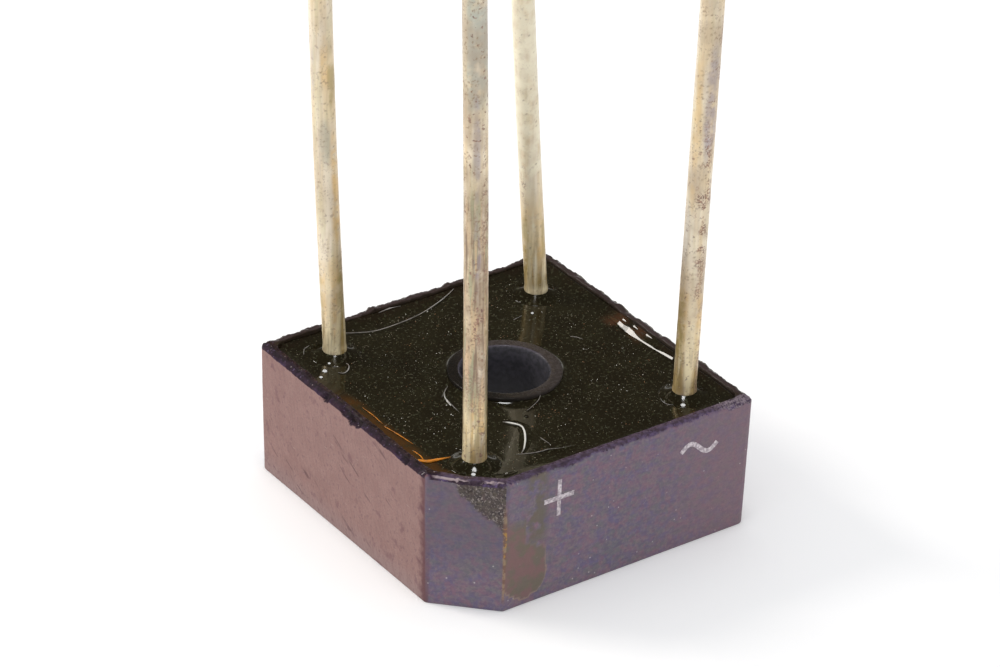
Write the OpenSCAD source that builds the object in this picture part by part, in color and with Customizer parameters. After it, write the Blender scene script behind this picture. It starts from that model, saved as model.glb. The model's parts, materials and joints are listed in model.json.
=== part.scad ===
// Square bridge rectifier: a moulded cup with a screw tube through its middle,
// filled with casting resin over four diode chips, with four wire leads.
// Origin at the middle of the closed flat face, +Z out along the leads.
// The chamfered corner, at -X -Y, marks the positive lead.

/* [Case] */
// Width of the case across its flats, at the rim
case_w = 15.2; // [14:0.1:17]
// Height of the case from the flat face to the rim
case_h = 6.3; // [5.8:0.1:6.9]
// Length cut off each side by the chamfer at the positive corner
corner_cut = 2.37; // [2:0.01:2.8]
// Radius of the three plain upright corners
corner_r = 0.4; // [0.25:0.05:0.8]
// Radius of the two upright edges beside the chamfer
cut_edge_r = 0.22; // [0.2:0.01:0.4]
// Radius of the outer edge of the rim
rim_r = 0.18; // [0.05:0.01:0.2]
// Radius of the edge round the flat face
foot_r = 0.06; // [0.02:0.01:0.12]
// Inward taper of each outer side from the rim down to the flat face
side_taper = 0.08; // [0.02:0.01:0.2]
// Thickness of the wall at the rim
wall_t = 0.45; // [0.35:0.05:0.7]
// Extra thickness of the wall where it meets the floor
wall_taper = 0.1; // [0.05:0.01:0.2]
// Radius of the pocket's upright corners
pocket_r = 0.6; // [0.4:0.1:1.2]
// Thickness of the floor
floor_t = 1; // [0.8:0.1:1.4]

/* [Screw tube] */
// Diameter of the bore, for a No. 6 screw
bore_d = 3.8; // [3.6:0.05:4]
// Thickness of the tube's wall
tube_t = 0.57; // [0.45:0.01:0.7]
// Chamfer at both mouths of the bore
bore_lip = 0.12; // [0.05:0.01:0.2]
// Chamfer round the outside of the tube's free end
tube_lip = 0.06; // [0.02:0.01:0.1]

/* [Resin] */
// Drop from the rim to the resin's flat surface
resin_drop = 0.3; // [0.25:0.05:0.6]
// Height to which the resin climbs the walls
wall_climb = 0.16; // [0.05:0.01:0.2]
// Width of the curved band of resin along the walls
wall_band = 0.6; // [0.3:0.05:0.8]
// Height to which the resin climbs the leads and the tube
post_climb = 0.14; // [0.05:0.01:0.2]
// Width of the curved ring of resin round each lead and the tube
post_band = 0.35; // [0.2:0.05:0.5]

/* [Leads] */
// Diameter of the round wire
lead_d = 1; // [0.9:0.05:1.1]
// Distance from each side of the case to the middle of its nearest leads
lead_inset = 2.35; // [2.25:0.05:2.6]
// Length of each lead from the resin's surface to its tip
lead_out = 21.5; // [19:0.5:24]
// Positions of the leads off their nominal place along X: +, ~, -, ~
lead_off_x = [0.1, 0.1, -0.1, 0.2]; // [-0.3:0.05:0.3]
// Positions of the leads off their nominal place along Y: +, ~, -, ~
lead_off_y = [0.1, 0.1, -0.3, -0.2]; // [-0.3:0.05:0.3]
// Lean of each lead above the resin, in degrees: +, ~, -, ~
lead_lean = [1.3, 2.25, 3.8, 0.85]; // [0.5:0.05:5]
// Compass direction that each lead leans to, from +X towards +Y
lean_to = [145, 145, 145, 325]; // [0:5:355]
// Extra diameter of the upright shank, swollen where the head was formed
shank_swell = 0.06; // [0.05:0.01:0.16]
// Height at which the shank ends above the resin's flat surface
shank_out = 0.3; // [0.25:0.05:0.5]
// Chamfer round the cut tip
tip_cut = 0.06; // [0.02:0.01:0.15]
// Diameter of the flat head on the buried end
head_d = 1.5; // [1.3:0.1:1.7]
// Thickness of the flat head
head_t = 0.25; // [0.15:0.05:0.4]

/* [Diode chips and plates] */
// Thickness of the copper plates
plate_t = 0.4; // [0.3:0.05:0.6]
// Width of each plate's arms
arm_w = 1.7; // [1.4:0.1:1.8]
// Diameter of each plate's round pad under the lead
pad_d = 2.1; // [1.9:0.1:2.2]
// Length of arm beyond the edge of the chip
arm_over = 0.2; // [0.1:0.05:0.4]
// Width of the square silicon chip
chip_w = 2.1; // [1.8:0.1:2.3]
// Thickness of the chip below its raised contact
chip_base_t = 0.18; // [0.12:0.02:0.24]
// Height of the raised contact on the chip's anode side
chip_mesa_t = 0.1; // [0.06:0.02:0.14]
// Width of the step round the raised contact
chip_step = 0.15; // [0.1:0.05:0.3]
// Thickness of each solder layer
solder_t = 0.06; // [0.04:0.01:0.1]
// Distance that chip solder stays back from the contact's edge
solder_back = 0.05; // [0:0.01:0.1]

/* [Hidden] */
$fn = 64;
arc_steps = 5;            // steps round each rounded corner and edge
band_steps = 4;           // steps across the curved band of resin
skin = 0.001;             // thickness of the slices that a hull joins
over = 1;                 // how far a cut runs past what it cuts
bend_lap = 0.2;           // how far a lead's leaning part starts inside its shank

lead_pitch = case_w - 2 * lead_inset;
tube_r = bore_d / 2 + tube_t;
shank_d = lead_d + shank_swell;
resin_z = case_h - resin_drop;
chip_t = chip_base_t + chip_mesa_t;
low_plate_z = floor_t;
low_solder_z = low_plate_z + plate_t;
chip_z = low_solder_z + solder_t;
high_solder_z = chip_z + chip_t;
high_plate_z = high_solder_z + solder_t;
mesa_w = chip_w - 2 * chip_step;
pad_solder_w = mesa_w - 2 * solder_back;

// Corners in turn: positive, first AC, negative, second AC
corner_at = [[-1, -1], [-1, 1], [1, 1], [1, -1]];
// Both AC plates lie on the floor, the other two on top of the chips
plate_z = [high_plate_z, low_plate_z, high_plate_z, low_plate_z];
// The chip on each side of the case sits halfway between two corners
chip_at = [[-1, 0], [0, 1], [1, 0], [0, -1]];
// The anode faces the AC plate at the positive corner, and away from it at the negative
anode_up = [false, true, true, false];

// Rounded corner at v, where the outline turns left by turn after running along heading
function rounded(v, heading, turn, r) = [
  for (i = [0:arc_steps])
    let (a = heading - 90 + turn * i / arc_steps)
      v + r * [cos(a) - tan(turn / 2) * cos(heading) - sin(heading),
               sin(a) - tan(turn / 2) * sin(heading) + cos(heading)]
];

// Outline of the case moved in by inset, with its plain corners and chamfer edges rounded
function outline(inset, plain_r, cut_r) =
  let (half = case_w / 2 - inset,
       cut = corner_cut - inset * (2 - sqrt(2)))
    concat(
      rounded([-half + cut, -half], -45, 45, cut_r),
      rounded([half, -half], 0, 90, plain_r),
      rounded([half, half], 90, 90, plain_r),
      rounded([-half, half], 180, 90, plain_r),
      rounded([-half, -half + cut], 270, 45, cut_r));

module slice(z, inset, plain_r, cut_r) {
  translate([0, 0, z]) linear_extrude(skin) polygon(outline(inset, plain_r, cut_r));
}

// Outer form: tapered sides, rounded at the foot and at the rim
module case_block() {
  hull() {
    for (i = [0:arc_steps]) {
      a = 90 * i / arc_steps;
      slice(foot_r * (1 - cos(a)), side_taper + foot_r * (1 - sin(a)), corner_r, cut_edge_r);
      slice(case_h - skin - rim_r * (1 - sin(a)), rim_r * (1 - cos(a)),
            corner_r, cut_edge_r);
    }
  }
}

// Room inside the walls, from the floor up past the rim
module pocket() {
  rise = wall_taper * over / (case_h - floor_t);
  hull() {
    slice(floor_t, wall_t + wall_taper, pocket_r, pocket_r);
    slice(case_h + over, wall_t - rise, pocket_r, pocket_r);
  }
}

module case() {
  color([0.42, 0.37, 0.4])
    difference() {
      case_block();
      difference() {
        pocket();
        tube_end();
      }
      translate([0, 0, -over]) cylinder(d = bore_d, h = case_h + 2 * over);
      bore_mouth(0, 0);
      bore_mouth(case_h, 180);
    }
}

// Solid tube with its chamfered free end
module tube_end() {
  cylinder(r = tube_r, h = case_h - tube_lip);
  translate([0, 0, case_h - tube_lip])
    cylinder(r1 = tube_r, r2 = tube_r - tube_lip, h = tube_lip);
}

// Cone that opens the bore at height z
module bore_mouth(z, turn) {
  translate([0, 0, z]) rotate([turn, 0, 0]) translate([0, 0, -bore_lip])
    cylinder(r1 = bore_d / 2 + 2 * bore_lip, r2 = bore_d / 2, h = 2 * bore_lip);
}

// Air above the resin: flat in the middle, curving up to the walls
module air() {
  hull() {
    for (i = [0:band_steps]) {
      t = i / band_steps;
      slice(resin_z + wall_climb * pow(t, 2), wall_t + wall_band * (1 - t),
            pocket_r, pocket_r);
    }
    slice(case_h + over, wall_t - wall_band / band_steps, pocket_r, pocket_r);
  }
}

// Resin drawn up round a post of radius r
module climb_ring(r) {
  rotate_extrude()
    polygon(concat(
      [[r / 2, resin_z - post_climb], [r + post_band, resin_z - post_climb]],
      [for (i = [0:band_steps])
        let (t = i / band_steps)
          [r + post_band * (1 - t), resin_z + post_climb * pow(t, 2)]],
      [[r / 2, resin_z + post_climb]]));
}

module potting() {
  color([0.13, 0.11, 0.06])
    difference() {
      union() {
        difference() {
          intersection() {
            pocket();
            translate([0, 0, case_h / 2]) cube([case_w, case_w, case_h], center = true);
          }
          air();
        }
        climb_ring(tube_r);
        for (i = [0:3]) translate(lead_place(i)) climb_ring(shank_d / 2);
      }
      translate([0, 0, -over]) cylinder(r = tube_r, h = case_h + 2 * over);
      for (i = [0:3]) {
        lead(i);
        lead_solder(i);
        plate(i);
        chip(i);
        chip_solder(i, low_solder_z);
        chip_solder(i, high_solder_z);
      }
    }
}

function lead_place(i) = [
  corner_at[i][0] * lead_pitch / 2 + lead_off_x[i],
  corner_at[i][1] * lead_pitch / 2 + lead_off_y[i],
  0
];

// One wire: flat head, upright shank through the resin, then straight on at its own lean
module lead(i) {
  base_z = plate_z[i] + plate_t + solder_t;
  shank_end_z = resin_z + shank_out;
  straight = lead_out - shank_out;
  color([0.78, 0.72, 0.56])
    translate(lead_place(i)) rotate([0, 0, lean_to[i]]) {
      translate([0, 0, base_z]) cylinder(d = head_d, h = head_t);
      translate([0, 0, base_z]) cylinder(d = shank_d, h = shank_end_z - base_z);
      translate([0, 0, shank_end_z]) rotate([0, lead_lean[i], 0]) {
        translate([0, 0, -bend_lap]) cylinder(d = lead_d, h = straight - tip_cut + bend_lap);
        translate([0, 0, straight - tip_cut])
          cylinder(d1 = lead_d, d2 = lead_d - 2 * tip_cut, h = tip_cut);
      }
    }
}

// Solder under a lead's head
module lead_solder(i) {
  color([0.7, 0.71, 0.72])
    translate(lead_place(i)) translate([0, 0, plate_z[i] + plate_t])
      cylinder(d = head_d, h = solder_t);
}

// L-shaped copper plate: a round pad at its corner and an arm to each neighbouring chip
module plate(i) {
  reach = lead_pitch / 2 + chip_w / 2 + arm_over;
  color([0.72, 0.42, 0.26])
    translate([corner_at[i][0] * lead_pitch / 2, corner_at[i][1] * lead_pitch / 2, plate_z[i]])
      linear_extrude(plate_t) {
        circle(d = pad_d);
        translate([min(-corner_at[i][0] * reach, 0), -arm_w / 2]) square([reach, arm_w]);
        translate([-arm_w / 2, min(-corner_at[i][1] * reach, 0)]) square([arm_w, reach]);
      }
}

// Centre of the chip on side i
function chip_place(i) = [chip_at[i][0] * lead_pitch / 2, chip_at[i][1] * lead_pitch / 2, 0];

// Silicon chip with its raised contact on the anode side
module chip(i) {
  base_z = anode_up[i] ? 0 : chip_mesa_t;
  mesa_z = anode_up[i] ? chip_base_t : 0;
  color([0.36, 0.37, 0.4])
    translate(chip_place(i) + [0, 0, chip_z]) {
      translate([-chip_w / 2, -chip_w / 2, base_z]) cube([chip_w, chip_w, chip_base_t]);
      translate([-mesa_w / 2, -mesa_w / 2, mesa_z]) cube([mesa_w, mesa_w, chip_mesa_t]);
    }
}

// Solder between a chip and a plate, at height z
module chip_solder(i, z) {
  color([0.7, 0.71, 0.72])
    translate(chip_place(i) + [-pad_solder_w / 2, -pad_solder_w / 2, z])
      cube([pad_solder_w, pad_solder_w, solder_t]);
}

case();
potting();
lead(0);  // lead_positive
lead(1);  // lead_ac_1
lead(2);  // lead_negative
lead(3);  // lead_ac_2
plate(0);  // plate_positive
plate(1);  // plate_ac_1
plate(2);  // plate_negative
plate(3);  // plate_ac_2
lead_solder(0);  // lead_solder_positive
lead_solder(1);  // lead_solder_ac_1
lead_solder(2);  // lead_solder_negative
lead_solder(3);  // lead_solder_ac_2
chip(0);  // diode_chip_1
chip(1);  // diode_chip_2
chip(2);  // diode_chip_3
chip(3);  // diode_chip_4
chip_solder(0, low_solder_z);  // chip_solder_low_1
chip_solder(1, low_solder_z);  // chip_solder_low_2
chip_solder(2, low_solder_z);  // chip_solder_low_3
chip_solder(3, low_solder_z);  // chip_solder_low_4
chip_solder(0, high_solder_z);  // chip_solder_high_1
chip_solder(1, high_solder_z);  // chip_solder_high_2
chip_solder(2, high_solder_z);  // chip_solder_high_3
chip_solder(3, high_solder_z);  // chip_solder_high_4
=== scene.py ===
import json
import math

import bpy
from mathutils import Matrix, Vector, noise


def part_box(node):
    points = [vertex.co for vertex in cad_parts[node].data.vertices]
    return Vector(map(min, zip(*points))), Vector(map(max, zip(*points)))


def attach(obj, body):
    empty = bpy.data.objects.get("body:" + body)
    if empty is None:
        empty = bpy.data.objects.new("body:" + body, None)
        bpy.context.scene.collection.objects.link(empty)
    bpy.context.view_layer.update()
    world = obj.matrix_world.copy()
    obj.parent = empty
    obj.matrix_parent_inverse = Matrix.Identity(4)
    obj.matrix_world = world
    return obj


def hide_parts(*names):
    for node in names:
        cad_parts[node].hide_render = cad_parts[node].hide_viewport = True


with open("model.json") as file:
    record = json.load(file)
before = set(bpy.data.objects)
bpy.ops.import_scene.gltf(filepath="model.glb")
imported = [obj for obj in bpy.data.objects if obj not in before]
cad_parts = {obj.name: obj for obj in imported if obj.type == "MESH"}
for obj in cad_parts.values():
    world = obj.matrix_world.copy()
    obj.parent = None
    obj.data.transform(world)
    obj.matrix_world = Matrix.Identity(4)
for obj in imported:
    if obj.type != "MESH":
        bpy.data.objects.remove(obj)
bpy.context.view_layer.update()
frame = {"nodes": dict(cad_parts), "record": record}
scene = bpy.context.scene
mm = 0.001
mounts = {m["name"]: m for m in frame["record"]["mounts"]}
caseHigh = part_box("case")[1]
caseHalf, caseTop = caseHigh.x, caseHigh.z
boreRadius = mounts["screw_hole"]["dims"]["r_mm"] * mm
leadNames = ["lead_positive", "lead_ac_1", "lead_negative", "lead_ac_2"]


def smoothstep(low, high, x):
    t = min(max((x - low) / (high - low), 0.0), 1.0)
    return t * t * (3 - 2 * t)


def mixValues(a, b, t):
    return a + (b - a) * t


# smooth noise whose lumps are about size millimetres wide
def lumps(place, size):
    return noise.noise(place / (size * mm))


def turns(count):
    return [2 * math.pi * j / count for j in range(count)]


# cosine and sine over a quarter turn
def quarterTurn(steps):
    return [(math.cos(a), math.sin(a)) for a in (math.radians(90 * i / steps) for i in range(steps + 1))]


def addPiece(name, points, faces):
    mesh = bpy.data.meshes.new(name)
    mesh.from_pydata(points, [], faces)
    mesh.shade_smooth()
    mesh.update()
    piece = bpy.data.objects.new(name, mesh)
    scene.collection.objects.link(piece)
    return piece


# faces of a skin of closed rings; wrap joins the last ring to the first
def ringFaces(ringCount, around, wrap=False, start=0):
    faces = []
    for r in range(ringCount if wrap else ringCount - 1):
        below, above = start + r * around, start + ((r + 1) % ringCount) * around
        for c in range(around):
            d = (c + 1) % around
            faces.append((below + c, below + d, above + d, above + c))
    return faces


def storeValues(piece, name, values):
    layer = piece.data.attributes.new(name, "FLOAT", "POINT")
    layer.data.foreach_set("value", values)


# the cup: the same sizes as the solid that it stands for

cupSettings = {
    "cornerCut": 2.37 * mm, "plainCornerRadius": 0.4 * mm, "cutCornerRadius": 0.22 * mm,
    "sideTaper": 0.08 * mm, "rimRadius": 0.18 * mm, "rimInnerRadius": 0.05 * mm, "footRadius": 0.06 * mm,
    "wall": 0.45 * mm, "wallTaper": 0.1 * mm, "pocketRadius": 0.6 * mm, "floor": 1.0 * mm,
    "tubeWall": 0.57 * mm, "tubeLip": 0.06 * mm, "boreLip": 0.12 * mm, "denseBand": 0.6 * mm,
    "arcSteps": 6, "sideColumns": [150, 120, 160, 190, 60], "lowRings": 34, "highRings": 14,
    "boreRings": 10, "underRings": 8, "unevenness": 0.012 * mm, "grain": 0.004 * mm,
    "ragged": 0.06 * mm, "gritHeight": 0.08 * mm, "runHeight": 0.03 * mm, "tubeWear": 0.02 * mm,
}
sideNames = ["front", "right", "back", "left", "cut"]
# broken places on the rim's outer edge: side, place along it, half width, height; all in millimetres
rimChips = [
    ("left", 0.1, 0.4, 0.36), ("left", 0.75, 0.45, 0.2), ("left", 2.3, 0.22, 0.26),
    ("left", -2.0, 0.3, 0.08), ("left", -3.6, 0.22, 0.14), ("left", -4.6, 0.3, 0.1),
    ("left", 4.6, 0.7, 0.08), ("front", 2.4, 0.5, 0.06), ("front", 6.6, 0.5, 0.14),
    ("front", -2.2, 0.4, 0.06), ("back", -3.4, 0.3, 0.1), ("back", 3.9, 0.5, 0.1),
]
# the band of small breaks between them: side, mean height
rimWear = {"left": 0.1, "front": 0.06, "cut": 0.03, "back": 0.12, "right": 0.12}
# dips and knobs of the rim's top edge: side, place along it, half width, rise
rimWaves = [
    ("back", -2.5, 0.1, 0.07), ("back", -1.9, 0.14, 0.08), ("back", -2.9, 0.5, -0.08),
    ("back", 2.1, 0.13, 0.06), ("back", 1.4, 0.5, -0.05), ("back", 4.8, 0.7, -0.05),
    ("right", -0.8, 0.5, -0.06), ("right", 3.2, 0.2, 0.04), ("right", 1.0, 0.6, -0.05),
    ("left", 3.4, 0.6, -0.05), ("cut", 0.0, 0.7, -0.07), ("left", -3.2, 0.5, -0.04),
]
# resin that ran over the rim, in millimetres: a gritty wedge on the chamfer, a smooth tongue beside it
# on the front and a thin seam on the edge between them
filmSettings = {
    "frontBelow": -7.4, "frontRightOf": -5.24, "chamferBelow": -12.6, "chamferRightOf": -7.45,
    "edgeAlong": 1.676, "edgeAt": (-5.22, -7.55), "wedgeReach": 2.1, "wedgeFoot": 0.12,
    "tongueRight": -3.05, "tongueStep": 1.1, "tongueMiddle": -4.15, "tongueHalf": 1.12,
    "tongueLow": 0.3, "tongueRound": 1.05,
}
tubeRadius = boreRadius + cupSettings["tubeWall"]


def cornerArc(corner, heading, turn, radius):
    h, back, steps = math.radians(heading), math.tan(math.radians(turn / 2)), cupSettings["arcSteps"]
    points = []
    for i in range(steps + 1):
        a = math.radians(heading - 90 + turn * i / steps)
        points.append((corner[0] + radius * (math.cos(a) - back * math.cos(h) - math.sin(h)),
                       corner[1] + radius * (math.sin(a) - back * math.sin(h) + math.cos(h))))
    return points


# outline of the cup moved in by inset, from the chamfer's front edge round to the chamfer
def cupOutline(inset, plainRadius, cutRadius):
    half = caseHalf - inset
    cut = cupSettings["cornerCut"] - inset * (2 - math.sqrt(2))
    arcs = [
        cornerArc((-half + cut, -half), -45, 45, cutRadius),
        cornerArc((half, -half), 0, 90, plainRadius),
        cornerArc((half, half), 90, 90, plainRadius),
        cornerArc((-half, half), 180, 90, plainRadius),
        cornerArc((-half, -half + cut), 270, 45, cutRadius),
    ]
    points = []
    for k, arc in enumerate(arcs):
        start, end, count = arc[-1], arcs[(k + 1) % 5][0], cupSettings["sideColumns"][k]
        points += arc + [(mixValues(start[0], end[0], i / count), mixValues(start[1], end[1], i / count))
                         for i in range(1, count)]
    return points


def squareRing(z, inset, plainRadius, cutRadius):
    return [(x, y, z) for x, y in cupOutline(inset, plainRadius, cutRadius)]


columnAngles = [math.atan2(y, x) for x, y in cupOutline(0, cupSettings["plainCornerRadius"],
                                                        cupSettings["cutCornerRadius"])]
columnSides = [name for name, count in zip(sideNames, cupSettings["sideColumns"])
               for i in range(cupSettings["arcSteps"] + count)]
columns = len(columnAngles)


def roundRing(z, radius):
    return [(radius * math.cos(a), radius * math.sin(a), z) for a in columnAngles]


def blendRings(a, b, t):
    return [tuple(mixValues(p[i], q[i], t) for i in range(3)) for p, q in zip(a, b)]


def cupRings():
    s = cupSettings
    rings, zones = [], []

    def add(zone, ring):
        rings.append(ring)
        zones.append(zone)

    def outer(z, inset, t=0.0):  # t goes from the outside's corner radii to the pocket's
        return squareRing(z, inset, mixValues(s["plainCornerRadius"], s["pocketRadius"], t),
                          mixValues(s["cutCornerRadius"], s["pocketRadius"], t))

    for cosine, sine in quarterTurn(4):
        add("foot", outer(s["footRadius"] * (1 - cosine), s["sideTaper"] + s["footRadius"] * (1 - sine)))
    low, high = s["footRadius"], caseTop - s["rimRadius"]
    dense = high - s["denseBand"]
    heights = [mixValues(low, dense, i / s["lowRings"]) for i in range(1, s["lowRings"] + 1)]
    heights += [mixValues(dense, high, i / s["highRings"]) for i in range(1, s["highRings"])]
    for z in heights:
        add("outer", outer(z, s["sideTaper"] * (1 - (z - low) / (high - low))))
    for cosine, sine in quarterTurn(6):
        add("rim", outer(caseTop - s["rimRadius"] * (1 - sine), s["rimRadius"] * (1 - cosine)))
    flatEnd, inner = s["wall"] - s["rimInnerRadius"], s["rimInnerRadius"]
    for t in (0.25, 0.5, 0.75, 1.0):
        add("rim", outer(caseTop, mixValues(s["rimRadius"], flatEnd, t), t))
    for cosine, sine in quarterTurn(3)[1:]:
        add("rim", outer(caseTop - inner * (1 - cosine), flatEnd + inner * sine, 1))
    deep = caseTop - s["floor"]
    for drop in (0.1, 0.16, 0.22, 0.3, 0.4, 0.6, 2.0, 3.6):
        add("inner", outer(caseTop - drop * mm, s["wall"] + s["wallTaper"] * drop * mm / deep, 1))
    edge = outer(s["floor"], s["wall"] + s["wallTaper"], 1)
    for t in (0, 0.33, 0.66, 1):
        add("floor", blendRings(edge, roundRing(s["floor"], tubeRadius), t))
    for z in (2.2, 4.0, 5.6, 5.9, 6.0, 6.06, 6.12, 6.18):
        add("tube", roundRing(z * mm, tubeRadius))
    add("tube", roundRing(caseTop - s["tubeLip"], tubeRadius))
    add("tubeTop", roundRing(caseTop - 0.3 * s["tubeLip"], tubeRadius - 0.3 * s["tubeLip"]))
    lip, steps = s["boreLip"], s["boreRings"]
    for t in (0, 0.25, 0.5, 0.75, 1):
        add("tubeTop", roundRing(caseTop, mixValues(tubeRadius - s["tubeLip"], boreRadius + lip, t)))
    add("tubeTop", roundRing(caseTop - 0.4 * lip, boreRadius + 0.4 * lip))
    for i in range(steps + 1):
        add("bore", roundRing(mixValues(caseTop - lip, lip, i / steps), boreRadius))
    mouth, sole = roundRing(0, boreRadius + lip), outer(0, s["sideTaper"] + s["footRadius"])
    for i in range(s["underRings"]):
        add("under", blendRings(mouth, sole, i / s["underRings"]))
    return rings, zones


# place along a side from its middle, in millimetres
def placeAlong(side, p):
    if side == "cut":
        return (p.x - p.y) / math.sqrt(2) / mm
    return (p.y if side in ("left", "right") else p.x) / mm


# how far a broken edge goes in, how far it drops, and its mask
def chipAt(side, p, inset):
    place, flat = placeAlong(side, p), Vector((p.x, p.y, 0))
    wear = rimWear[side] * (1 + 1.2 * lumps(flat, 1.1) + 0.9 * lumps(flat, 0.27) + 0.6 * lumps(flat, 0.11))
    jag = 1 + 0.35 * lumps(flat, 0.2)
    for name, at, width, down in rimChips:
        if name == side and abs(place - at) < 3 * width:
            wear += down * smoothstep(0.1, 0.8, jag * math.exp(-((place - at) / width) ** 2))
    height = max(wear, 0.01)
    depth = (caseTop - p.z) / mm
    reach = 0.42 * height * smoothstep(height, 0.4 * height, depth)
    down = 0.5 * height * max(0, 1 - inset / 0.3)
    return reach * mm, down * mm, smoothstep(height + 0.02, height - 0.03, depth)


def waveAt(side, p):
    place = placeAlong(side, p)
    return mm * sum(rise * math.exp(-((place - at) / width) ** 2) for name, at, width, rise in rimWaves
                    if name == side and abs(place - at) < 3 * width)


def filmAt(p):
    s = filmSettings
    x, y, z = p.x / mm, p.y / mm, p.z / mm
    wobble = 0.16 * lumps(p, 0.6) + 0.06 * lumps(p, 0.17)
    grit = run = 0.0
    fromEdge = s["edgeAlong"] - (x - y) / math.sqrt(2)  # on the chamfer, from its front edge
    onFront = y < s["frontBelow"] and x > s["frontRightOf"]
    if not onFront and x + y < s["chamferBelow"] and x > s["chamferRightOf"]:
        reach = s["wedgeReach"] * smoothstep(3.6, 6.1, z) + s["wedgeFoot"]
        grit = smoothstep(0.0, 0.16, reach - fromEdge + wobble) * smoothstep(3.1, 4.3, z + wobble)
    corner = math.hypot(x - s["edgeAt"][0], y - s["edgeAt"][1])
    seam = smoothstep(0.1, 0.04, corner) * smoothstep(0.3, 0.7, z) * smoothstep(5.4, 4.6, z)
    if onFront:  # the tongue's lower end is round
        right = s["tongueRight"] - s["tongueStep"] * smoothstep(2.5, 3.1, z)
        bulge = 1 - ((x - s["tongueMiddle"]) / s["tongueHalf"]) ** 2
        low = s["tongueLow"] + s["tongueRound"] * (1 - math.sqrt(max(0, bulge)))
        run = smoothstep(0.0, 0.09, min(right - x, z - low) + 0.7 * wobble)
        run *= smoothstep(4.8, 3.9, z + 3 * wobble)
    return grit, run, seam


def makeCup():
    s = cupSettings
    rings, zones = cupRings()
    cup = addPiece("case_moulding", [p for ring in rings for p in ring], ringFaces(len(rings), columns, True))
    marks = {name: [] for name in ("grit", "run", "seam", "rim", "chip")}
    normals = [v.normal.copy() for v in cup.data.vertices]
    for v, normal in zip(cup.data.vertices, normals):
        p, zone, side = v.co.copy(), zones[v.index // columns], columnSides[v.index % columns]
        grit = run = seam = chip = 0.0
        near = side in ("front", "cut")
        move = Vector((0, 0, 0))
        if zone in ("outer", "foot", "rim"):
            grit, run, seam = filmAt(p)
            bump = s["unevenness"] * lumps(p, 2.6)
            bump += s["grain"] * noise.noise(Vector((p.x * 9, p.y * 9, p.z * 2.5)) / mm)
            bump += s["gritHeight"] * grit * (0.3 + lumps(p, 0.13))
            bump += s["runHeight"] * run
            move += normal * bump * (0.3 if zone == "foot" else 1)
        if p.z > caseTop - 0.8 * mm and zone in ("outer", "rim", "inner"):
            flat = Vector((p.x, p.y, 0))
            inset = (caseHalf - max(abs(p.x), abs(p.y))) / mm
            ragged = s["ragged"] * (0.3 if near else 1.0) * (lumps(flat, 0.5) + 0.7 * lumps(flat, 0.15) - 0.5)
            weight = smoothstep(caseTop - 0.42 * mm, caseTop - 0.02 * mm, p.z)
            move.z += (ragged + waveAt(side, p)) * weight * (0.7 if zone == "inner" else 1)
            if zone != "inner":
                reach, down, chip = chipAt(side, p, inset)
                if zone == "outer" or inset <= 0.17:
                    move -= Vector((normal.x, normal.y, 0)).normalized() * reach
                move.z -= down * weight
        if zone == "tubeTop":
            move.z -= s["tubeWear"] * max(0, lumps(p, 0.5))
        v.co = p + move
        edge = 1.0 if zone == "inner" else 0.0
        if zone == "rim":
            edge = smoothstep(0.04, 0.16, inset) if near else 1.0
        for values, value in zip(marks.values(), (grit, run, seam, edge, chip)):
            values.append(value)
    for name, values in marks.items():
        storeValues(cup, name, values)
    cup.data.update()
    return cup


# the cast resin

pourSettings = {
    "topDrop": 0.3 * mm, "farClimb": 0.17 * mm, "nearClimb": 0.05 * mm, "wallBand": 0.6 * mm,
    "postClimb": {"lead_positive": 0.33 * mm, "lead_ac_1": 0.26 * mm, "lead_negative": 0.26 * mm,
                  "lead_ac_2": 0.28 * mm},
    "postBand": 0.6 * mm, "postCurve": 1.35, "underCollar": 0.93, "tubeClimb": 0.15 * mm,
    "tubeBand": 0.45 * mm, "wave": 0.014 * mm, "wallRings": 7, "rings": 74, "tubeRings": 12,
}
resinTop = caseTop - pourSettings["topDrop"]
# ridges that the resin set with: slope of the flanks, then points along each with half width, in millimetres
resinRidges = [
    (0.7, [(6.73, 1.75, 0.03), (6.72, 1.3, 0.1), (6.72, 0.7, 0.2), (6.76, -0.2, 0.2), (6.8, -1.0, 0.1),
           (6.9, -3.1, 0.05)]),
    (0.85, [(-2.64, 0.5, 0.05), (-3.25, -0.19, 0.14), (-3.5, -0.8, 0.14), (-3.45, -1.5, 0.06)]),
    (0.6, [(0.34, -2.1, 0.05), (0.02, -2.54, 0.1), (-0.51, -2.81, 0.1), (-0.93, -2.93, 0.04)]),
    (0.3, [(-2.2, -3.1, 0.1), (-1.9, -3.5, 0.22), (-1.8, -3.9, 0.22), (-2.0, -4.4, 0.24), (-2.6, -5.1, 0.2),
           (-3.0, -5.5, 0.1)]),
    (0.35, [(-2.1, -5.9, 0.1), (-1.6, -6.2, 0.16), (-0.8, -6.3, 0.08)]),
    (0.4, [(-5.2, -6.35, 0.06), (-4.7, -6.6, 0.12), (-4.1, -6.65, 0.06)]),
]
# small bubbles: place, radius and rise
resinBubbles = [(4.7, -5.45, 0.3, 0.08), (2.4, 5.9, 0.1, 0.06), (-1.2, -3.3, 0.1, 0.06),
                (-5.9, -5.6, 0.12, 0.08)]
# small flat facets that catch the light, all leaning one way: place and radius
resinFacets = [(-5.85, 4.7, 0.06), (-6.32, 4.32, 0.1), (-6.75, 3.95, 0.07), (-5.75, -5.95, 0.09),
               (-5.95, -6.3, 0.06), (4.82, -6.2, 0.1), (4.0, 3.6, 0.06)]
facetSettings = {"lean": (-0.3, -0.414, 0.859), "lift": 0.045 * mm, "around": 16}
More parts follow.
